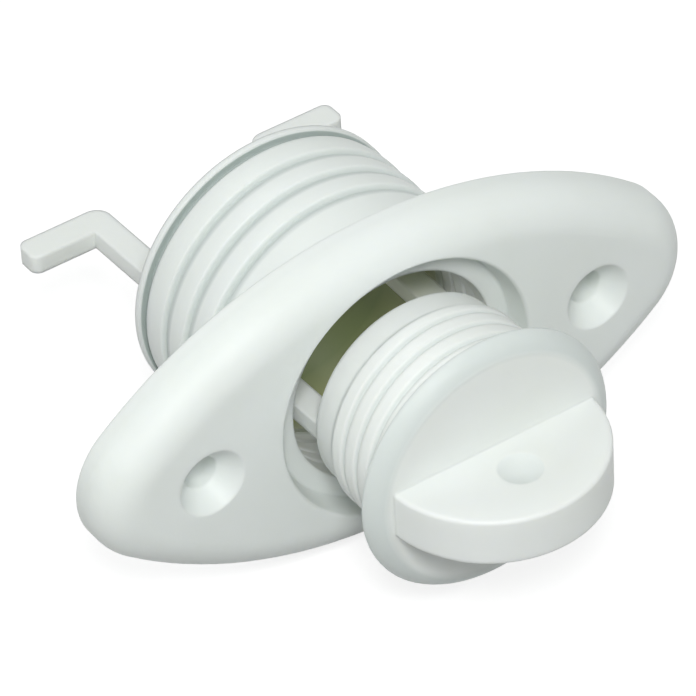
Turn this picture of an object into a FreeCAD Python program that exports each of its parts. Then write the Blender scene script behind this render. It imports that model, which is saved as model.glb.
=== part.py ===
import FreeCAD, Part
import math
import os

# Captive drain plug for a boat, in millimetres.
# Y runs along the bore: the flange beds on the hull at Y = 0, its face looks to -Y and the tube points to +Y.
# X is the long way of the flange and Z is up. The plug is drawn half out, as it hangs when it is opened.

# Tube behind the flange: its diameter over the ribs sets the bore, the thread, the plug and the flange's width
TUBE_DIAMETER = 38.2
TUBE_LENGTH = 22.9
TUBE_WALL = 3.8
RIB_PITCH = 4.35
RIB_GROOVE_COUNT = 3
RIB_GROOVE_WIDTH = 1.0
RIB_GROOVE_DEPTH = 0.75
RIB_GROOVE_FRONT_SLOPE = 0.35
RIB_GROOVE_BACK_SLOPE = 0.2
RIB_FALL = 0.3
RIB_CROWN = 0.12
LAST_RIB_LENGTH = 3.6
RIM_STEP = 0.1
RIM_THICKNESS = 0.9
RIM_GROOVE_WIDTH = 1.0
RIM_GROOVE_DEPTH = 1.0

# Thread shared by the plug and the bore
OUTLET_STEP = 0.9
BORE_LEAD_LENGTH = 2.5
BORE_THREAD_LENGTH = 9.0
THREAD_CLEARANCE = 0.15
THREAD_DEPTH = 0.6
THREAD_PITCH = 2.6
THREAD_MOUTH_WIDTH = 0.9
THREAD_ROOT_WIDTH = 0.2

# Plug, with a cone behind its head that closes the bore's mouth
PLUG_DRAWN_OUT = 16.1
HEAD_OVERHANG = 3.25
HEAD_CONE_DEPTH = 2.6
HEAD_EDGE_WIDTH = 0.3
HEAD_SHOULDER_WIDTH = 2.1
HEAD_SHOULDER_DEPTH = 1.9
HEAD_SHOULDER_CROWN = 0.3
HEAD_WALL = 3.0
SHANK_LENGTH = 13.1
SHANK_WALL = 3.95
NOSE_LENGTH = 3.9
NOSE_STEP = 0.7
NOSE_BEVEL = 0.6

# Fin on the head, for finger and thumb
FIN_INSET = 3.15
FIN_REACH = 13.5
FIN_THICKNESS = 6.5
FIN_ROUND = 0.4
DIMPLE_DIAMETER = 5.6
DIMPLE_DEPTH = 0.7
DIMPLE_FROM_HEAD = 5.2

# Legs with outward hooks that keep the plug captive
LEG_LENGTH = 46.6
LEG_THICKNESS = 2.5
LEG_SPLAY = 1.2
LEG_WALL_INSET = 0.5
HOOK_WIDTH = 4.0
HOOK_OVERHANG = 4.0
HOOK_ELBOW_ROUND = 2.2
HOOK_TIP_ROUND = 1.2

# Flange, with a recess that takes the head of the plug
HEAD_CLEARANCE = 0.25
RECESS_DEPTH = 3.2
RECESS_DRAFT = 0.75
RECESS_EDGE_BEVEL = 0.25
FLANGE_MARGIN = 4.25
FLANGE_LENGTH = 85.2
FLANGE_THICKNESS = 7.2
FLANGE_END_RADIUS = 10.6
FACE_ROUND = 5.0
BACK_BEVEL = 0.4

# Screw holes with conical seats for the heads
SCREW_SPACING = 56.0
SCREW_HOLE_DIAMETER = 4.5
SCREW_HEAD_DIAMETER = 9.0
SCREW_HEAD_ANGLE = 82.0

TUBE_RADIUS = TUBE_DIAMETER / 2
OUTLET_RADIUS = TUBE_RADIUS - TUBE_WALL
BORE_RADIUS = OUTLET_RADIUS - OUTLET_STEP
THREAD_RADIUS = BORE_RADIUS - THREAD_CLEARANCE
HEAD_RADIUS = THREAD_RADIUS + HEAD_OVERHANG
RECESS_RADIUS = HEAD_RADIUS + HEAD_CLEARANCE
NOSE_RADIUS = THREAD_RADIUS - NOSE_STEP
CORE_RADIUS = NOSE_RADIUS - SHANK_WALL
FIN_HALF_WIDTH = HEAD_RADIUS - FIN_INSET
HOOK_TIP_X = TUBE_RADIUS + HOOK_OVERHANG
FLANGE_WIDTH = 2 * (RECESS_RADIUS + FLANGE_MARGIN)

HEAD_THICKNESS = HEAD_CONE_DEPTH + HEAD_EDGE_WIDTH + HEAD_SHOULDER_DEPTH
FLANGE_FACE_Y = -FLANGE_THICKNESS
RECESS_FLOOR_Y = FLANGE_FACE_Y + RECESS_DEPTH
BORE_THREAD_Y = RECESS_FLOOR_Y + BORE_LEAD_LENGTH
BORE_END_Y = BORE_THREAD_Y + BORE_THREAD_LENGTH
HEAD_BACK_Y = RECESS_FLOOR_Y - PLUG_DRAWN_OUT
HEAD_FRONT_Y = HEAD_BACK_Y - HEAD_THICKNESS
NOSE_END_Y = HEAD_BACK_Y + SHANK_LENGTH
SHOULDER_Y = NOSE_END_Y - NOSE_LENGTH
HOOK_FRONT_Y = NOSE_END_Y + LEG_LENGTH
HOOK_BACK_Y = HOOK_FRONT_Y + HOOK_WIDTH

ORIGIN = FreeCAD.Vector(0, 0, 0)
X_AXIS = FreeCAD.Vector(1, 0, 0)
Y_AXIS = FreeCAD.Vector(0, 1, 0)
Z_AXIS = FreeCAD.Vector(0, 0, 1)


def at(radius, y):
    return FreeCAD.Vector(radius, y, 0)


def line(start, end):
    return Part.makeLine(start, end)


def bow(start, end, crown):
    """An arc from start to end that stands a crown's height proud of the straight line, on its left."""
    along = end - start
    along.normalize()
    proud = FreeCAD.Vector(-along.y, along.x, 0) * crown
    return Part.Arc(start, (start + end) * 0.5 + proud, end).toShape()


def spin(edges):
    """Turn a closed profile in the XY plane about the bore's axis."""
    face = Part.Face(Part.Wire(edges))
    return face.revolve(ORIGIN, Y_AXIS, 360)


def spin_points(points):
    corners = [at(radius, y) for radius, y in points]
    return spin([line(a, b) for a, b in zip(corners, corners[1:] + corners[:1])])


def rod(radius, start_y, end_y):
    return Part.makeCylinder(radius, end_y - start_y, Y_AXIS * start_y, Y_AXIS)


def flange_outline():
    """Four arcs that meet in tangents: two tight ends and two long flat sides."""
    reach = FLANGE_LENGTH / 2 - FLANGE_END_RADIUS
    rise = FLANGE_WIDTH / 2 - FLANGE_END_RADIUS
    drop = (reach ** 2 - rise ** 2) / (2 * rise)
    slope = math.hypot(reach, drop)
    joint_x = reach + FLANGE_END_RADIUS * reach / slope
    joint_z = FLANGE_END_RADIUS * drop / slope
    corners = [(joint_x, joint_z), (-joint_x, joint_z), (-joint_x, -joint_z), (joint_x, -joint_z)]
    tops = [(0, FLANGE_WIDTH / 2), (-FLANGE_LENGTH / 2, 0), (0, -FLANGE_WIDTH / 2), (FLANGE_LENGTH / 2, 0)]
    edges = []
    for number, (top_x, top_z) in enumerate(tops):
        start_x, start_z = corners[number]
        end_x, end_z = corners[(number + 1) % len(corners)]
        start = FreeCAD.Vector(start_x, 0, start_z)
        middle = FreeCAD.Vector(top_x, 0, top_z)
        end = FreeCAD.Vector(end_x, 0, end_z)
        edges.append(Part.Arc(start, middle, end).toShape())
    return Part.Wire(edges)


def edges_at_y(shape, y):
    return [edge for edge in shape.Edges
            if abs(edge.BoundBox.YMin - y) < 0.01 and abs(edge.BoundBox.YMax - y) < 0.01]


def flange_plate():
    plate = Part.Face(flange_outline()).extrude(Y_AXIS * -FLANGE_THICKNESS)
    plate = plate.makeFillet(FACE_ROUND, edges_at_y(plate, FLANGE_FACE_Y))
    return plate.makeChamfer(BACK_BEVEL, edges_at_y(plate, 0))


def ribbed_tube():
    """One profile from inside the flange to the rear rim, with narrow grooves between broad crowned ribs.

    The stretch next to the flange has no crown, so that nothing stands proud where the hull's hole begins.
    """
    rib_root = TUBE_RADIUS - RIB_GROOVE_DEPTH
    rib_back = TUBE_RADIUS - RIB_FALL
    rim_root = TUBE_RADIUS - RIM_GROOVE_DEPTH
    rim_radius = TUBE_RADIUS + RIM_STEP
    rim_front_y = TUBE_LENGTH - RIM_THICKNESS
    rim_groove_y = rim_front_y - RIM_GROOVE_WIDTH
    rib_front = at(TUBE_RADIUS, 0)
    edges = [line(at(0, FLANGE_FACE_Y / 2), at(TUBE_RADIUS, FLANGE_FACE_Y / 2)),
             line(at(TUBE_RADIUS, FLANGE_FACE_Y / 2), rib_front)]
    for number in range(RIB_GROOVE_COUNT - 1, -1, -1):
        rib_y = rim_groove_y - LAST_RIB_LENGTH - number * RIB_PITCH
        groove_y = rib_y - RIB_GROOVE_WIDTH
        corners = [at(rib_back, groove_y), at(rib_root, groove_y + RIB_GROOVE_FRONT_SLOPE),
                   at(rib_root, rib_y - RIB_GROOVE_BACK_SLOPE), at(TUBE_RADIUS, rib_y)]
        next_to_flange = number == RIB_GROOVE_COUNT - 1
        edges.append(line(rib_front, corners[0]) if next_to_flange else bow(rib_front, corners[0], -RIB_CROWN))
        edges += [line(a, b) for a, b in zip(corners, corners[1:])]
        rib_front = corners[-1]
    corners = [at(rib_back, rim_groove_y), at(rim_root, rim_groove_y), at(rim_root, rim_front_y),
               at(rim_radius, rim_front_y), at(rim_radius, TUBE_LENGTH), at(0, TUBE_LENGTH),
               at(0, FLANGE_FACE_Y / 2)]
    edges.append(bow(rib_front, corners[0], -RIB_CROWN))
    return spin(edges + [line(a, b) for a, b in zip(corners, corners[1:])])


def recess_space():
    """The recess for the head, with a drafted wall and a flat floor, and the bore's smooth lead into the thread."""
    bevel = RECESS_EDGE_BEVEL
    return spin_points([(0, FLANGE_FACE_Y - bevel), (RECESS_RADIUS + 2 * bevel, FLANGE_FACE_Y - bevel),
                        (RECESS_RADIUS, FLANGE_FACE_Y + bevel), (RECESS_RADIUS - RECESS_DRAFT, RECESS_FLOOR_Y),
                        (BORE_RADIUS, RECESS_FLOOR_Y), (BORE_RADIUS, BORE_THREAD_Y), (0, BORE_THREAD_Y)])


def outlet_space():
    """The bore behind its thread, a little wider so that the sprung legs pass."""
    return spin_points([(0, BORE_END_Y), (BORE_RADIUS, BORE_END_Y), (OUTLET_RADIUS, BORE_END_Y + OUTLET_STEP),
                        (OUTLET_RADIUS, TUBE_LENGTH + OUTLET_STEP), (0, TUBE_LENGTH + OUTLET_STEP)])


def screw_hole():
    hole_radius = SCREW_HOLE_DIAMETER / 2
    head_radius = SCREW_HEAD_DIAMETER / 2
    seat_depth = (head_radius - hole_radius) / math.tan(math.radians(SCREW_HEAD_ANGLE / 2))
    return spin_points([(0, FLANGE_FACE_Y - 1), (head_radius, FLANGE_FACE_Y - 1), (head_radius, FLANGE_FACE_Y),
                        (hole_radius, FLANGE_FACE_Y + seat_depth), (hole_radius, 1), (0, 1)])


def helical_cutter(mouth_radius, root_radius, first_y, last_y):
    """Sweep a tapered groove section up a right-hand helix, from first_y to last_y."""
    towards_root = math.copysign(1, root_radius - mouth_radius)
    flare = (THREAD_MOUTH_WIDTH - THREAD_ROOT_WIDTH) / 2 / THREAD_DEPTH
    lift = THREAD_DEPTH / 3
    half_mouth = THREAD_MOUTH_WIDTH / 2 + flare * lift
    half_root = THREAD_ROOT_WIDTH / 2
    outside = mouth_radius - towards_root * lift
    helix = Part.makeHelix(THREAD_PITCH, last_y - first_y, mouth_radius)
    corners = [FreeCAD.Vector(outside, 0, -half_mouth), FreeCAD.Vector(root_radius, 0, -half_root),
               FreeCAD.Vector(root_radius, 0, half_root), FreeCAD.Vector(outside, 0, half_mouth)]
    section = Part.makePolygon(corners + corners[:1])
    groove = Part.Wire(helix).makePipeShell([section], True, True)
    groove.rotate(ORIGIN, X_AXIS, -90)
    groove.translate(Y_AXIS * first_y)
    return groove


def threaded_sleeve(outer_radius):
    """The threaded stretch of the bore: a groove wound inside a longer ring, which is then trimmed to length."""
    start_y = BORE_THREAD_Y - 2 * THREAD_PITCH
    end_y = BORE_END_Y + 2 * THREAD_PITCH
    ring = rod(outer_radius, start_y, end_y).cut(rod(BORE_RADIUS, start_y, end_y))
    ring = ring.cut(helical_cutter(BORE_RADIUS, BORE_RADIUS + THREAD_DEPTH,
                                   start_y + THREAD_PITCH, end_y - THREAD_PITCH))
    return ring.common(rod(outer_radius + 1, BORE_THREAD_Y, BORE_END_Y))


def socket():
    sleeve_radius = (BORE_RADIUS + THREAD_DEPTH + TUBE_RADIUS - RIB_GROOVE_DEPTH) / 2
    body = flange_plate().fuse(ribbed_tube())
    body = body.cut([recess_space(), rod(sleeve_radius, BORE_THREAD_Y, BORE_END_Y), outlet_space()])
    body = body.fuse(threaded_sleeve(sleeve_radius))
    for side in (-1, 1):
        hole = screw_hole()
        hole.translate(X_AXIS * (side * SCREW_SPACING / 2))
        body = body.cut(hole)
    return body.removeSplitter()


def head():
    """A flat face, a crowned shoulder, a thin outer edge, and behind it the cone that closes the bore's mouth."""
    face_end = at(HEAD_RADIUS - HEAD_SHOULDER_WIDTH, HEAD_FRONT_Y)
    edge_front = at(HEAD_RADIUS, HEAD_FRONT_Y + HEAD_SHOULDER_DEPTH)
    edge_back = at(HEAD_RADIUS, HEAD_BACK_Y - HEAD_CONE_DEPTH)
    corners = [edge_front, edge_back, at(THREAD_RADIUS, HEAD_BACK_Y), at(0, HEAD_BACK_Y),
               at(0, HEAD_FRONT_Y), face_end]
    shoulder = bow(face_end, edge_front, -HEAD_SHOULDER_CROWN)
    return spin([shoulder] + [line(a, b) for a, b in zip(corners, corners[1:])])


def threaded_shank():
    """A thread wound on a longer rod, which is then turned down to the smooth nose."""
    stock_end_y = NOSE_END_Y + 2 * THREAD_PITCH
    stock = rod(THREAD_RADIUS, HEAD_BACK_Y - HEAD_CONE_DEPTH, stock_end_y)
    stock = stock.cut(helical_cutter(THREAD_RADIUS, THREAD_RADIUS - THREAD_DEPTH,
                                     HEAD_BACK_Y - THREAD_MOUTH_WIDTH / 2, SHOULDER_Y + THREAD_PITCH))
    turned_off = spin_points([(THREAD_RADIUS + NOSE_STEP, SHOULDER_Y - 2 * NOSE_STEP), (NOSE_RADIUS, SHOULDER_Y),
                              (NOSE_RADIUS, NOSE_END_Y - NOSE_BEVEL), (NOSE_RADIUS - NOSE_BEVEL, NOSE_END_Y),
                              (0, NOSE_END_Y), (0, stock_end_y + 1), (THREAD_RADIUS + NOSE_STEP, stock_end_y + 1)])
    return stock.cut(turned_off)


def fin():
    """A thick D that stands on the head, with its curved edges softened and a thumb dimple on top."""
    root_y = HEAD_FRONT_Y + HEAD_THICKNESS / 2
    low = -FIN_THICKNESS / 2
    left = FreeCAD.Vector(-FIN_HALF_WIDTH, HEAD_FRONT_Y, low)
    tip = FreeCAD.Vector(0, HEAD_FRONT_Y - FIN_REACH, low)
    right = FreeCAD.Vector(FIN_HALF_WIDTH, HEAD_FRONT_Y, low)
    right_root = FreeCAD.Vector(FIN_HALF_WIDTH, root_y, low)
    left_root = FreeCAD.Vector(-FIN_HALF_WIDTH, root_y, low)
    outline = Part.Wire([Part.Arc(left, tip, right).toShape(), line(right, right_root),
                         line(right_root, left_root), line(left_root, left)])
    block = Part.Face(outline).extrude(Z_AXIS * FIN_THICKNESS)
    rims = [edge for edge in block.Edges
            if edge.BoundBox.ZLength < 0.01 and edge.BoundBox.YMin < HEAD_FRONT_Y + 0.01]
    block = block.makeFillet(FIN_ROUND, rims)
    ball_radius = (DIMPLE_DIAMETER ** 2 / 4 + DIMPLE_DEPTH ** 2) / (2 * DIMPLE_DEPTH)
    ball_height = FIN_THICKNESS / 2 - DIMPLE_DEPTH + ball_radius
    centre = FreeCAD.Vector(0, HEAD_FRONT_Y - DIMPLE_FROM_HEAD, ball_height)
    return block.cut(Part.makeSphere(ball_radius, centre))


def upright_edges(shape, x, y):
    return [edge for edge in shape.Edges
            if edge.BoundBox.ZLength > LEG_THICKNESS / 2
            and abs(edge.BoundBox.Center.x - x) < 0.01 and abs(edge.BoundBox.Center.y - y) < 0.01]


def leg():
    """The leg on the +X side: it grows out of the shank's wall, splays a little and ends in a hook."""
    outer_near = NOSE_RADIUS - LEG_WALL_INSET
    outer_far = outer_near + LEG_SPLAY
    inner_far = CORE_RADIUS + LEG_SPLAY
    corners = [(CORE_RADIUS, SHOULDER_Y), (outer_near, SHOULDER_Y), (outer_near, NOSE_END_Y),
               (outer_far, HOOK_FRONT_Y), (HOOK_TIP_X, HOOK_FRONT_Y), (HOOK_TIP_X, HOOK_BACK_Y),
               (inner_far, HOOK_BACK_Y), (CORE_RADIUS, NOSE_END_Y)]
    points = [FreeCAD.Vector(x, y, -LEG_THICKNESS / 2) for x, y in corners]
    blank = Part.Face(Part.makePolygon(points + points[:1])).extrude(Z_AXIS * LEG_THICKNESS)
    blank = blank.makeFillet(HOOK_ELBOW_ROUND, upright_edges(blank, inner_far, HOOK_BACK_Y))
    tips = upright_edges(blank, HOOK_TIP_X, HOOK_FRONT_Y) + upright_edges(blank, HOOK_TIP_X, HOOK_BACK_Y)
    return blank.makeFillet(HOOK_TIP_ROUND, tips)


def plug():
    right_leg = leg()
    left_leg = right_leg.mirror(ORIGIN, X_AXIS)
    core = rod(CORE_RADIUS, HEAD_FRONT_Y + HEAD_WALL, NOSE_END_Y + 1)
    return threaded_shank().fuse([head(), fin()]).cut(core).fuse([right_leg, left_leg])


os.makedirs("parts", exist_ok=True)
for name, shape in (("socket", socket()), ("plug", plug())):
    box = shape.BoundBox
    print(name, "solids", len(shape.Solids), "valid", shape.isValid(), "volume", round(shape.Volume, 1),
          "size", round(box.XLength, 2), round(box.YLength, 2), round(box.ZLength, 2))
    shape.exportStep("parts/" + name + ".step")
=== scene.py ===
import math

import bpy
from mathutils import Matrix, Vector


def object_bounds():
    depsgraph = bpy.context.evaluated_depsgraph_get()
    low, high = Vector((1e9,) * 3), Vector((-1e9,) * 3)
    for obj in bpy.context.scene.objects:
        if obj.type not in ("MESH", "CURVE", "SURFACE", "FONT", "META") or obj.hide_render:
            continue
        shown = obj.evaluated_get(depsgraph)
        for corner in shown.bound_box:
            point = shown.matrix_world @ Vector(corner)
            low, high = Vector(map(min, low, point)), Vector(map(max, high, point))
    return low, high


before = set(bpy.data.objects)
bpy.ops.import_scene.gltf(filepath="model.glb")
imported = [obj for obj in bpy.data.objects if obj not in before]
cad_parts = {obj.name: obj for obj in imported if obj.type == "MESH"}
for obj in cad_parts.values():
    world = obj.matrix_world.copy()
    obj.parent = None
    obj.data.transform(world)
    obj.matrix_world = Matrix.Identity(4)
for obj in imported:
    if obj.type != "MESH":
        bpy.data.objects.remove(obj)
cad_low, cad_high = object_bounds()


# Socket
# One injection moulding in white nylon: the oval flange, the recess for the plug's head, and the ribbed tube.
# It has the satin skin of a polished mould, and the wall is thick enough for light to sink in a little.

MIX_FIRST, MIX_SECOND, MIX_RESULT = 6, 7, 2          # the colour sockets of a Mix node
FLOW_MARK_SCALE, FLOW_MARK_DETAIL = 60, 3
FLOW_MARK_RANGE = (0.35, 0.65)
GRAIN_SCALE, GRAIN_DETAIL = 2600, 2
GRAIN_STRENGTH, GRAIN_DEPTH = 0.25, 0.00003
ROUGHNESS_NOISE_RANGE = (0.3, 0.7)
ROUGHNESS_RANGE = (0.44, 0.54)
EDGE_SAMPLES = 8
NYLON_IOR, NYLON_SPECULAR = 1.5, 0.4
LIGHT_SINK_SHARE, LIGHT_SINK_DEPTH = 0.4, 0.002
LIGHT_SINK_BY_COLOR = (1.0, 0.97, 0.85)


def mould_skin_group():
    """Fine grain and faint flow marks, shared by every moulded surface."""
    group = bpy.data.node_groups.new("mould_skin", "ShaderNodeTree")
    sockets = group.interface
    sockets.new_socket("Position", in_out="INPUT", socket_type="NodeSocketVector")
    sockets.new_socket("Base", in_out="INPUT", socket_type="NodeSocketColor")
    sockets.new_socket("Flow Mark", in_out="INPUT", socket_type="NodeSocketColor")
    sockets.new_socket("Color", in_out="OUTPUT", socket_type="NodeSocketColor")
    sockets.new_socket("Roughness", in_out="OUTPUT", socket_type="NodeSocketFloat")
    sockets.new_socket("Height", in_out="OUTPUT", socket_type="NodeSocketFloat")
    nodes, links = group.nodes, group.links
    inputs = nodes.new("NodeGroupInput")
    outputs = nodes.new("NodeGroupOutput")

    flow = nodes.new("ShaderNodeTexNoise")
    flow.inputs["Scale"].default_value = FLOW_MARK_SCALE
    flow.inputs["Detail"].default_value = FLOW_MARK_DETAIL
    links.new(inputs.outputs["Position"], flow.inputs["Vector"])
    grain = nodes.new("ShaderNodeTexNoise")
    grain.inputs["Scale"].default_value = GRAIN_SCALE
    grain.inputs["Detail"].default_value = GRAIN_DETAIL
    links.new(inputs.outputs["Position"], grain.inputs["Vector"])

    marks = nodes.new("ShaderNodeMapRange")
    marks.inputs["From Min"].default_value, marks.inputs["From Max"].default_value = FLOW_MARK_RANGE
    links.new(flow.outputs["Fac"], marks.inputs["Value"])
    surface = nodes.new("ShaderNodeMix")
    surface.data_type = "RGBA"
    links.new(marks.outputs["Result"], surface.inputs["Factor"])
    links.new(inputs.outputs["Base"], surface.inputs[MIX_FIRST])
    links.new(inputs.outputs["Flow Mark"], surface.inputs[MIX_SECOND])
    links.new(surface.outputs[MIX_RESULT], outputs.inputs["Color"])

    dull = nodes.new("ShaderNodeMapRange")
    dull.inputs["From Min"].default_value, dull.inputs["From Max"].default_value = ROUGHNESS_NOISE_RANGE
    dull.inputs["To Min"].default_value, dull.inputs["To Max"].default_value = ROUGHNESS_RANGE
    links.new(flow.outputs["Fac"], dull.inputs["Value"])
    links.new(dull.outputs["Result"], outputs.inputs["Roughness"])
    links.new(grain.outputs["Fac"], outputs.inputs["Height"])
    return group


def math_result(nodes, links, operation, first, second):
    """The result of a Math node that joins two linked values."""
    node = nodes.new("ShaderNodeMath")
    node.operation = operation
    links.new(first, node.inputs[0])
    links.new(second, node.inputs[1])
    return node.outputs["Value"]


def ring_mask_group():
    """1 in a ring about the y axis, between two radii and two depths along it, with soft ends."""
    group = bpy.data.node_groups.new("ring_mask", "ShaderNodeTree")
    sockets = group.interface
    sockets.new_socket("Position", in_out="INPUT", socket_type="NodeSocketVector")
    for name in ("Inner Radius", "Outer Radius", "Front", "Rear", "Softness", "Front Softness"):
        sockets.new_socket(name, in_out="INPUT", socket_type="NodeSocketFloat")
    sockets.new_socket("Mask", in_out="OUTPUT", socket_type="NodeSocketFloat")
    nodes, links = group.nodes, group.links
    inputs = nodes.new("NodeGroupInput")
    outputs = nodes.new("NodeGroupOutput")

    across = nodes.new("ShaderNodeVectorMath")
    across.operation = "MULTIPLY"
    across.inputs[1].default_value = (1, 0, 1)
    links.new(inputs.outputs["Position"], across.inputs[0])
    radius = nodes.new("ShaderNodeVectorMath")
    radius.operation = "LENGTH"
    links.new(across.outputs["Vector"], radius.inputs[0])
    split = nodes.new("ShaderNodeSeparateXYZ")
    links.new(inputs.outputs["Position"], split.inputs["Vector"])

    def ramp(value, limit, softness, rising):
        """Rise from 0 to 1 over the softness that ends at the limit, or fall over the softness that starts there."""
        edge = math_result(nodes, links, "SUBTRACT" if rising else "ADD", limit, softness)
        step = nodes.new("ShaderNodeMapRange")
        links.new(value, step.inputs["Value"])
        links.new(edge, step.inputs["From Min"])
        links.new(limit, step.inputs["From Max"])
        return step.outputs["Result"]

    distance, depth = radius.outputs["Value"], split.outputs["Y"]
    mask = ramp(distance, inputs.outputs["Inner Radius"], inputs.outputs["Softness"], True)
    for step in (ramp(distance, inputs.outputs["Outer Radius"], inputs.outputs["Softness"], False),
                 ramp(depth, inputs.outputs["Front"], inputs.outputs["Front Softness"], True),
                 ramp(depth, inputs.outputs["Rear"], inputs.outputs["Softness"], False)):
        mask = math_result(nodes, links, "MULTIPLY", mask, step)
    links.new(mask, outputs.inputs["Mask"])
    return group


def white_plastic(name, base, flow_mark, edge_round):
    """Satin white nylon, with its moulded edges rounded by edge_round metres."""
    material = bpy.data.materials.new(name)
    material.use_nodes = True
    nodes, links = material.node_tree.nodes, material.node_tree.links
    shader = nodes["Principled BSDF"]
    place = nodes.new("ShaderNodeTexCoord")
    skin = nodes.new("ShaderNodeGroup")
    skin.node_tree = mould_skin
    skin.inputs["Base"].default_value = base
    skin.inputs["Flow Mark"].default_value = flow_mark
    links.new(place.outputs["Object"], skin.inputs["Position"])
    soft_edge = nodes.new("ShaderNodeBevel")
    soft_edge.samples = EDGE_SAMPLES
    soft_edge.inputs["Radius"].default_value = edge_round
    bump = nodes.new("ShaderNodeBump")
    bump.inputs["Strength"].default_value = GRAIN_STRENGTH
    bump.inputs["Distance"].default_value = GRAIN_DEPTH
    links.new(skin.outputs["Height"], bump.inputs["Height"])
    links.new(soft_edge.outputs["Normal"], bump.inputs["Normal"])
    links.new(bump.outputs["Normal"], shader.inputs["Normal"])
    links.new(skin.outputs["Color"], shader.inputs["Base Color"])
    links.new(skin.outputs["Roughness"], shader.inputs["Roughness"])
    shader.inputs["IOR"].default_value = NYLON_IOR
    shader.inputs["Specular IOR Level"].default_value = NYLON_SPECULAR
    shader.inputs["Subsurface Weight"].default_value = LIGHT_SINK_SHARE
    shader.inputs["Subsurface Radius"].default_value = LIGHT_SINK_BY_COLOR
    shader.inputs["Subsurface Scale"].default_value = LIGHT_SINK_DEPTH
    return material


def tint_ring(material, color, radii, depths, softness, front_softness, position=None):
    """Tint a ring of the material, such as the floor of a groove or the inside of the bore.

    The ring lies about the bore's axis, or about the y axis of another position that is given. Its sizes are in
    metres: the inner and outer radius, the front and rear depth, and how softly it fades past them.
    """
    nodes, links = material.node_tree.nodes, material.node_tree.links
    shader = nodes["Principled BSDF"]
    plain = shader.inputs["Base Color"].links[0].from_socket
    ring = nodes.new("ShaderNodeGroup")
    ring.node_tree = ring_mask
    ring.inputs["Inner Radius"].default_value, ring.inputs["Outer Radius"].default_value = radii
    ring.inputs["Front"].default_value, ring.inputs["Rear"].default_value = depths
    ring.inputs["Softness"].default_value = softness
    ring.inputs["Front Softness"].default_value = front_softness
    links.new(position or nodes["Texture Coordinate"].outputs["Object"], ring.inputs["Position"])
    mix = nodes.new("ShaderNodeMix")
    mix.data_type = "RGBA"
    links.new(ring.outputs["Mask"], mix.inputs["Factor"])
    links.new(plain, mix.inputs[MIX_FIRST])
    mix.inputs[MIX_SECOND].default_value = color
    links.new(mix.outputs[MIX_RESULT], shader.inputs["Base Color"])


SOCKET_WHITE = (0.80, 0.84, 0.82, 1)
SOCKET_FLOW_MARK = (0.78, 0.82, 0.79, 1)
SOCKET_EDGE_ROUND = 0.0005
# Painted light: a brighter white for the bore's front wall, for light that comes through the nylon.
BORE_MOUTH_PAINTED_LIGHT = (0.94, 0.97, 0.95, 1)
# Painted shade: an olive darkening inside the bore, and a darker one deeper in.
BORE_OLIVE_SHADE = (0.38, 0.41, 0.19, 1)
DEEP_BORE_OLIVE_SHADE = (0.20, 0.25, 0.085, 1)
RIB_GROOVE_SHADE = (0.61, 0.66, 0.64, 1)
RIM_GROOVE_SHADE = (0.46, 0.52, 0.50, 1)

# Radii about the bore's axis, and depths along it from the flange's flat back, each a little past its surface.
BORE_THREAD_RADIUS = 0.0152
BORE_OUTLET_RADIUS = 0.0157
RIB_GROOVE_RADII = (0.0178, 0.0195)
RIM_GROOVE_RADII = (0.0178, 0.0188)
BORE_MOUTH_LIGHT_DEPTHS = (-0.0035, 0.0060)
OLIVE_FRONT, DEEP_OLIVE_FRONT, TUBE_REAR = 0.0105, 0.0180, 0.030
RIB_GROOVE_FRONTS = (0.0077, 0.01205, 0.0164)
RIB_GROOVE_AHEAD, RIB_GROOVE_BEHIND = 0.0003, 0.0007
RIM_GROOVE_DEPTHS = (0.0210, 0.0220)

mould_skin = mould_skin_group()
ring_mask = ring_mask_group()
socket_plastic = white_plastic("white_nylon_socket", SOCKET_WHITE, SOCKET_FLOW_MARK, SOCKET_EDGE_ROUND)
# Painted light: the bore's front wall, inside the thread's radius, is lifted brighter than the plain nylon.
tint_ring(socket_plastic, BORE_MOUTH_PAINTED_LIGHT, (0.0, BORE_THREAD_RADIUS), BORE_MOUTH_LIGHT_DEPTHS,
          softness=0.0004, front_softness=0.0005)
# Painted shade: the bore's inner wall turns olive and dark past its thread, and darker again towards the tube's
# rear.
tint_ring(socket_plastic, BORE_OLIVE_SHADE, (0.0, BORE_OUTLET_RADIUS), (OLIVE_FRONT, TUBE_REAR),
          softness=0.0003, front_softness=0.0045)
tint_ring(socket_plastic, DEEP_BORE_OLIVE_SHADE, (0.0, BORE_OUTLET_RADIUS), (DEEP_OLIVE_FRONT, TUBE_REAR),
          softness=0.0003, front_softness=0.0050)
for groove_front in RIB_GROOVE_FRONTS:
    tint_ring(socket_plastic, RIB_GROOVE_SHADE, RIB_GROOVE_RADII,
              (groove_front - RIB_GROOVE_AHEAD, groove_front + RIB_GROOVE_BEHIND),
              softness=0.0003, front_softness=0.0006)
tint_ring(socket_plastic, RIM_GROOVE_SHADE, RIM_GROOVE_RADII, RIM_GROOVE_DEPTHS,
          softness=0.0002, front_softness=0.0001)
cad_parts["socket"].data.materials.clear()
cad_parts["socket"].data.materials.append(socket_plastic)


# Plug
# A second injection moulding in the same nylon: the head with its fin, the threaded shank and the two sprung legs.
# It screws into the bore, and the hooks on its legs keep it captive when it is drawn out to drain.

PLUG_WHITE = (0.81, 0.84, 0.82, 1)
PLUG_FLOW_MARK = (0.79, 0.82, 0.79, 1)
PLUG_EDGE_ROUND = 0.0006
THREAD_GROOVE_SHADE = (0.72, 0.76, 0.74, 1)
HEAD_BAND_SHADE = (0.67, 0.72, 0.70, 1)
DIMPLE_SHADE = (0.74, 0.78, 0.76, 1)
# Painted reflected light: the yellowish cast that the bore's olive wall throws on the legs.
LEG_OLIVE_CAST = (0.78, 0.81, 0.70, 1)

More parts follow.
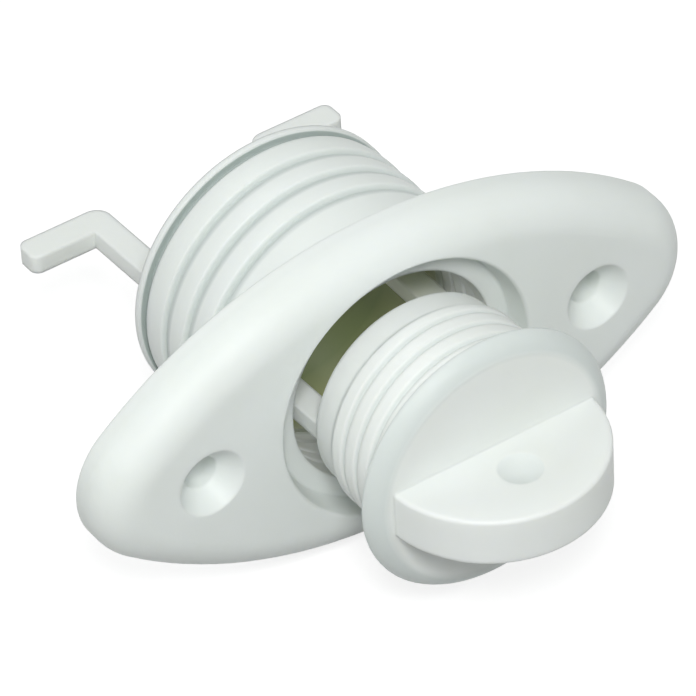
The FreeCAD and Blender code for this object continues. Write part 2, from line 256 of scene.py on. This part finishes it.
# Radii about the bore's axis, and depths along it from the flange's flat back, with the plug drawn half out.
THREAD_GROOVE_RADII = (0.0134, 0.0139)
THREAD_GROOVE_DEPTHS = (-0.0210, -0.0108)
HEAD_BAND_RADII = (0.0158, 0.0180)
HEAD_BAND_DEPTHS = (-0.0250, -0.0200)
LEG_OLIVE_CAST_DEPTHS = (0.0065, 0.0120)

# The dimple lies in the fin's upper side, so its ring is turned to stand up through the dimple's middle.
DIMPLE_RADIUS = 0.0026
DIMPLE_FORWARD = 0.0301
DIMPLE_DEPTHS = (-0.0040, -0.0020)

plug_plastic = white_plastic("white_nylon_plug", PLUG_WHITE, PLUG_FLOW_MARK, PLUG_EDGE_ROUND)
tint_ring(plug_plastic, THREAD_GROOVE_SHADE, THREAD_GROOVE_RADII, THREAD_GROOVE_DEPTHS,
          softness=0.0003, front_softness=0.0002)
tint_ring(plug_plastic, HEAD_BAND_SHADE, HEAD_BAND_RADII, HEAD_BAND_DEPTHS,
          softness=0.0010, front_softness=0.0003)
plug_nodes, plug_links = plug_plastic.node_tree.nodes, plug_plastic.node_tree.links
dimple_place = plug_nodes.new("ShaderNodeMapping")
dimple_place.inputs["Rotation"].default_value = (math.radians(90), 0, 0)
dimple_place.inputs["Location"].default_value = (0, 0, DIMPLE_FORWARD)
plug_links.new(plug_nodes["Texture Coordinate"].outputs["Object"], dimple_place.inputs["Vector"])
tint_ring(plug_plastic, DIMPLE_SHADE, (0.0, DIMPLE_RADIUS), DIMPLE_DEPTHS,
          softness=0.0003, front_softness=0.0003, position=dimple_place.outputs["Vector"])
# Painted reflected light: a yellowish cast on the stretch of the legs that stands inside the bore, fading softly at
# both ends.
tint_ring(plug_plastic, LEG_OLIVE_CAST, (0.0, BORE_OUTLET_RADIUS), LEG_OLIVE_CAST_DEPTHS,
          softness=0.0080, front_softness=0.0060)
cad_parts["plug"].data.materials.clear()
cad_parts["plug"].data.materials.append(plug_plastic)


# Floor
# A plain pale sheet just under the flange. The camera and glossy rays see it lifted to white, so only the
# soft shadow shows, and the light that it throws back up at the part stays low.

FLOOR_SIZE = 6
FLOOR_GAP = 0.0004
FLOOR_GREY = (0.35, 0.35, 0.35, 1)
FLOOR_ROUGHNESS = 0.9
FLOOR_LIFT = 0.77

bpy.ops.object.select_all(action="DESELECT")
bpy.ops.mesh.primitive_plane_add(size=FLOOR_SIZE, location=(0, 0, cad_low[2] - FLOOR_GAP))
floor = bpy.context.object
floor.name = "floor"
floor_paint = bpy.data.materials.new("white_floor")
floor_paint.use_nodes = True
floor_nodes, floor_links = floor_paint.node_tree.nodes, floor_paint.node_tree.links
floor_shader = floor_nodes["Principled BSDF"]
floor_shader.inputs["Base Color"].default_value = FLOOR_GREY
floor_shader.inputs["Roughness"].default_value = FLOOR_ROUGHNESS
floor_shader.inputs["Emission Color"].default_value = (1, 1, 1, 1)


def seen_rays(nodes, links):
    """1 for rays that come from the camera, a gloss or a glass, and 0 for rays that light the object."""
    rays = nodes.new("ShaderNodeLightPath")
    gloss = math_result(nodes, links, "MAXIMUM", rays.outputs["Is Camera Ray"], rays.outputs["Is Glossy Ray"])
    return math_result(nodes, links, "MAXIMUM", gloss, rays.outputs["Is Transmission Ray"])


lift = floor_nodes.new("ShaderNodeMath")
lift.operation = "MULTIPLY"
lift.inputs[1].default_value = FLOOR_LIFT
floor_links.new(seen_rays(floor_nodes, floor_links), lift.inputs[0])
floor_links.new(lift.outputs["Value"], floor_shader.inputs["Emission Strength"])
floor.data.materials.append(floor_paint)


# Studio light
# A white room that only the camera and glossy rays see at full strength, a soft key lamp from the upper left
# front, and weaker disk lamps from behind and from both sides.

ROOM_WHITE = (0.97, 1.0, 0.99, 1)
ROOM_LIGHT_LEVEL, ROOM_SEEN_LEVEL = 0.34, 1.0

world = bpy.data.worlds.new("white_room")
bpy.context.scene.world = world
world.use_nodes = True
room_nodes, room_links = world.node_tree.nodes, world.node_tree.links
room = room_nodes["Background"]
room.inputs["Color"].default_value = ROOM_WHITE
room_level = room_nodes.new("ShaderNodeMapRange")
room_level.inputs["To Min"].default_value = ROOM_LIGHT_LEVEL
room_level.inputs["To Max"].default_value = ROOM_SEEN_LEVEL
room_links.new(seen_rays(room_nodes, room_links), room_level.inputs["Value"])
room_links.new(room_level.outputs["Result"], room.inputs["Strength"])


def soft_lamp(name, place, width, watts):
    """A round soft lamp that shines at the middle of the flange. The place and the width are in metres."""
    lamp = bpy.data.lights.new(name, "AREA")
    lamp.shape = "DISK"
    lamp.size = width
    lamp.energy = watts
    holder = bpy.data.objects.new(name, lamp)
    bpy.context.scene.collection.objects.link(holder)
    holder.location = place
    holder.rotation_euler = (-Vector(place)).to_track_quat("-Z", "Y").to_euler()


soft_lamp("key", (-0.203, -0.337, 0.453), width=0.16, watts=2.32)
soft_lamp("rear", (0.0, 0.386, 0.460), width=0.20, watts=0.43)
soft_lamp("right_fill", (0.450, -0.260, 0.300), width=0.20, watts=0.20)
soft_lamp("left_fill", (-0.555, 0.098, 0.205), width=0.20, watts=0.34)


# Camera
# A long lens 0.7 m away at the front left, looking down on the flange as the photograph was taken.
# It is tilted a few degrees, and set off the aim point so that the part lies in the frame as it does there.

CAMERA_AZIMUTH = math.radians(-32.42)
CAMERA_ELEVATION = math.radians(39.76)
CAMERA_ROLL = math.radians(-3.44)
CAMERA_DISTANCE = 0.700
CAMERA_OFFSET_RIGHT = 0.00718
CAMERA_OFFSET_UP = -0.00486
CAMERA_LENS = 304.5
CAMERA_AIM = Vector((0, -0.0072, 0))

back = Vector((math.sin(CAMERA_AZIMUTH) * math.cos(CAMERA_ELEVATION),
               -math.cos(CAMERA_AZIMUTH) * math.cos(CAMERA_ELEVATION),
               math.sin(CAMERA_ELEVATION)))
level_right = Vector((math.cos(CAMERA_AZIMUTH), math.sin(CAMERA_AZIMUTH), 0))
level_up = back.cross(level_right)
right = level_right * math.cos(CAMERA_ROLL) + level_up * math.sin(CAMERA_ROLL)
up = level_up * math.cos(CAMERA_ROLL) - level_right * math.sin(CAMERA_ROLL)
camera_place = CAMERA_AIM + back * CAMERA_DISTANCE - right * CAMERA_OFFSET_RIGHT - up * CAMERA_OFFSET_UP
camera = bpy.data.cameras.new("photo_camera")
camera.lens = CAMERA_LENS
camera_holder = bpy.data.objects.new("photo_camera", camera)
bpy.context.scene.collection.objects.link(camera_holder)
camera_holder.matrix_world = Matrix.Translation(camera_place) @ Matrix((right, up, back)).transposed().to_4x4()
bpy.context.scene.camera = camera_holder
bpy.context.scene.view_settings.view_transform = "Standard"
